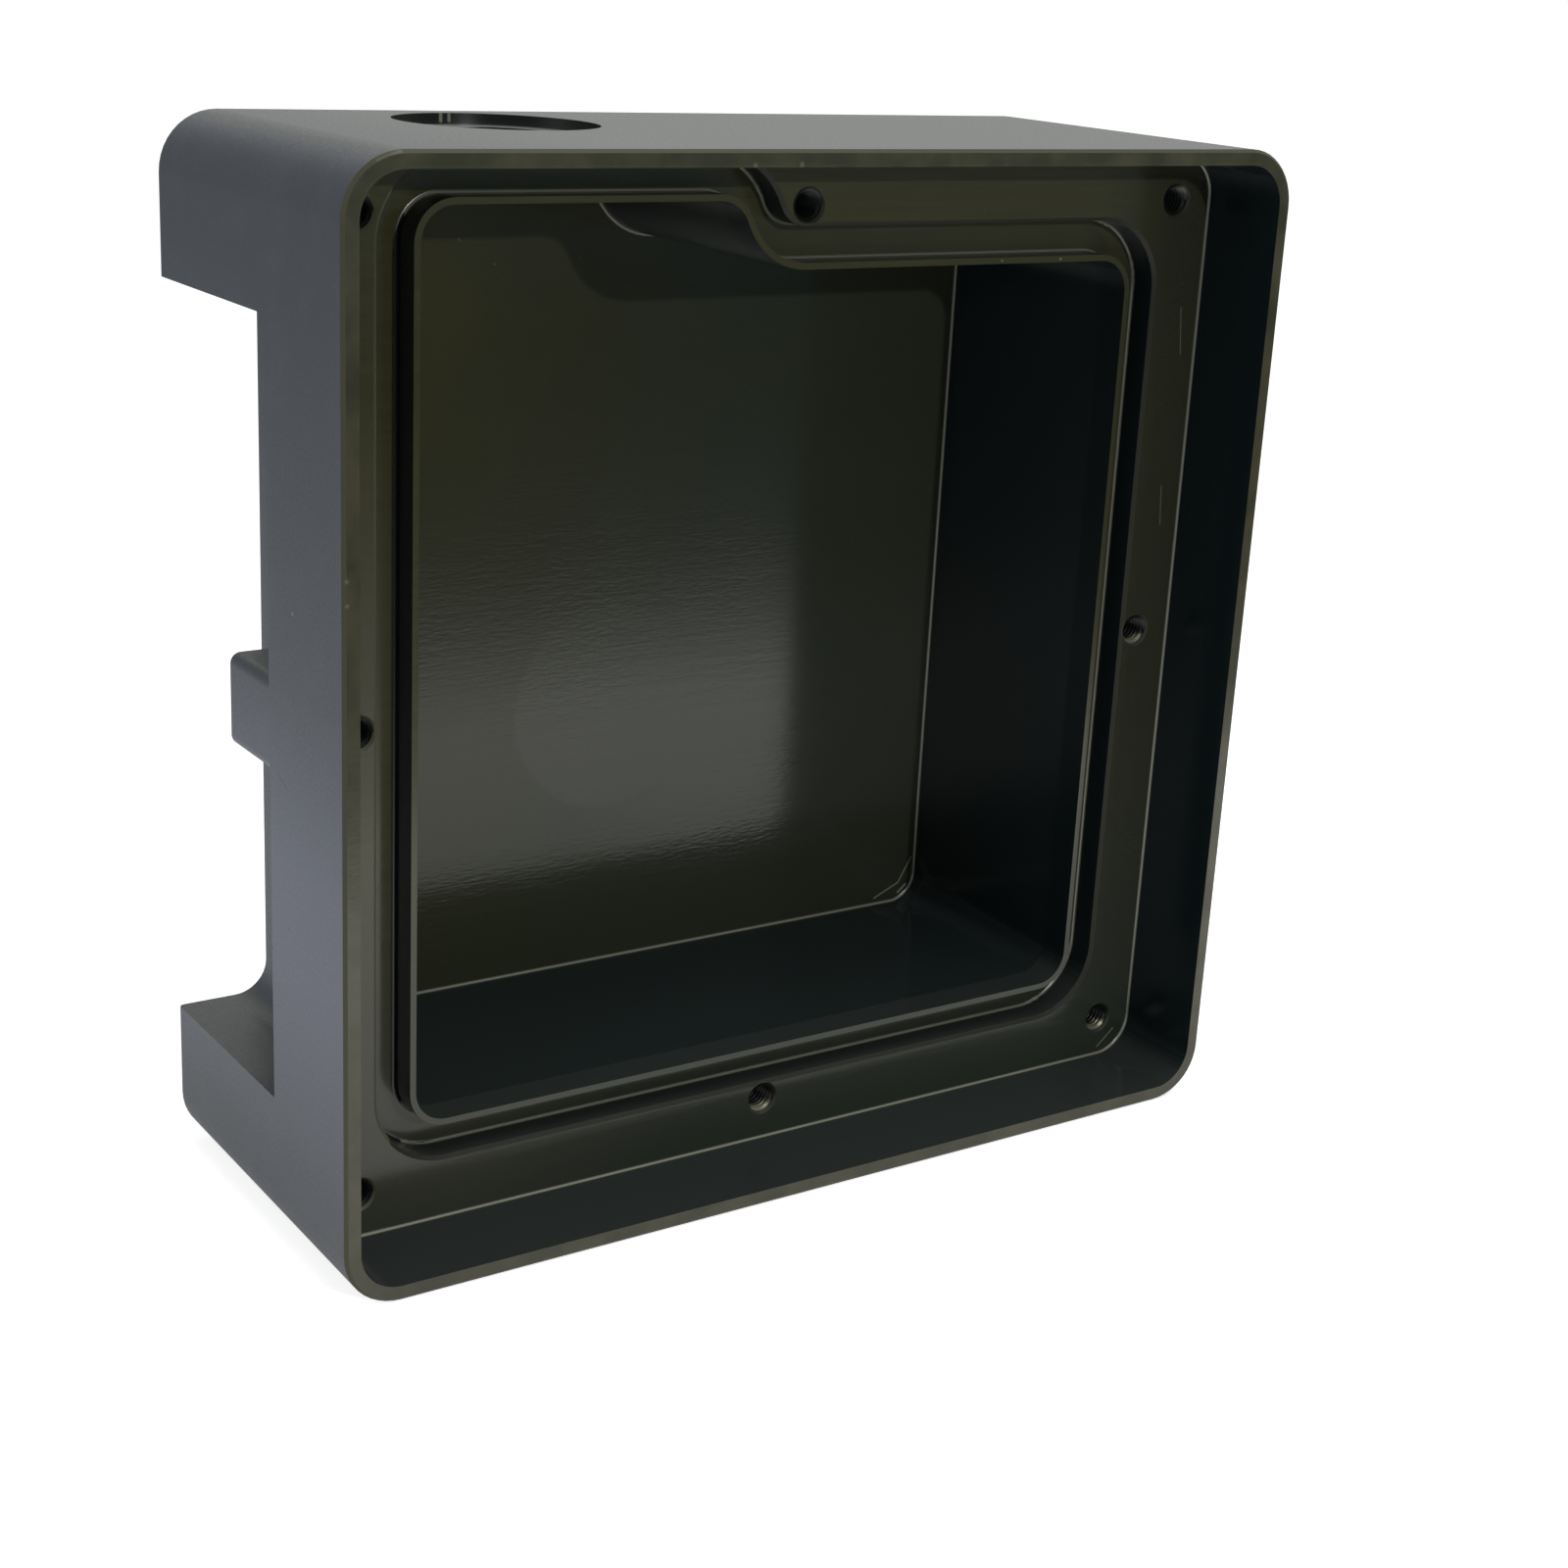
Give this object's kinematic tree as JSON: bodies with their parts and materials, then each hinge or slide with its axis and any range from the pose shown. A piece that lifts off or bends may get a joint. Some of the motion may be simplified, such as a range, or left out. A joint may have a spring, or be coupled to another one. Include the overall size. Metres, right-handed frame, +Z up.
{
  "type": "machined electronics enclosure body",
  "caption": "Square machined aluminium enclosure body with a recessed cover ledge, seal groove and lip, jogged bay, tapped cover holes, connector opening and rear side pockets.",
  "frame": {"origin": "middle of the bottom face, with the part standing on its bottom wall", "axes": "+X right seen from the open front, +Y from the open front to the closed rear, +Z up"},
  "size_m": [0.1, 0.039, 0.1],
  "materials": {
    "aluminium_body": "satin"
  },
  "bodies": {
    "root": {"enclosure_body": "aluminium_body"}
  },
  "joints": []
}
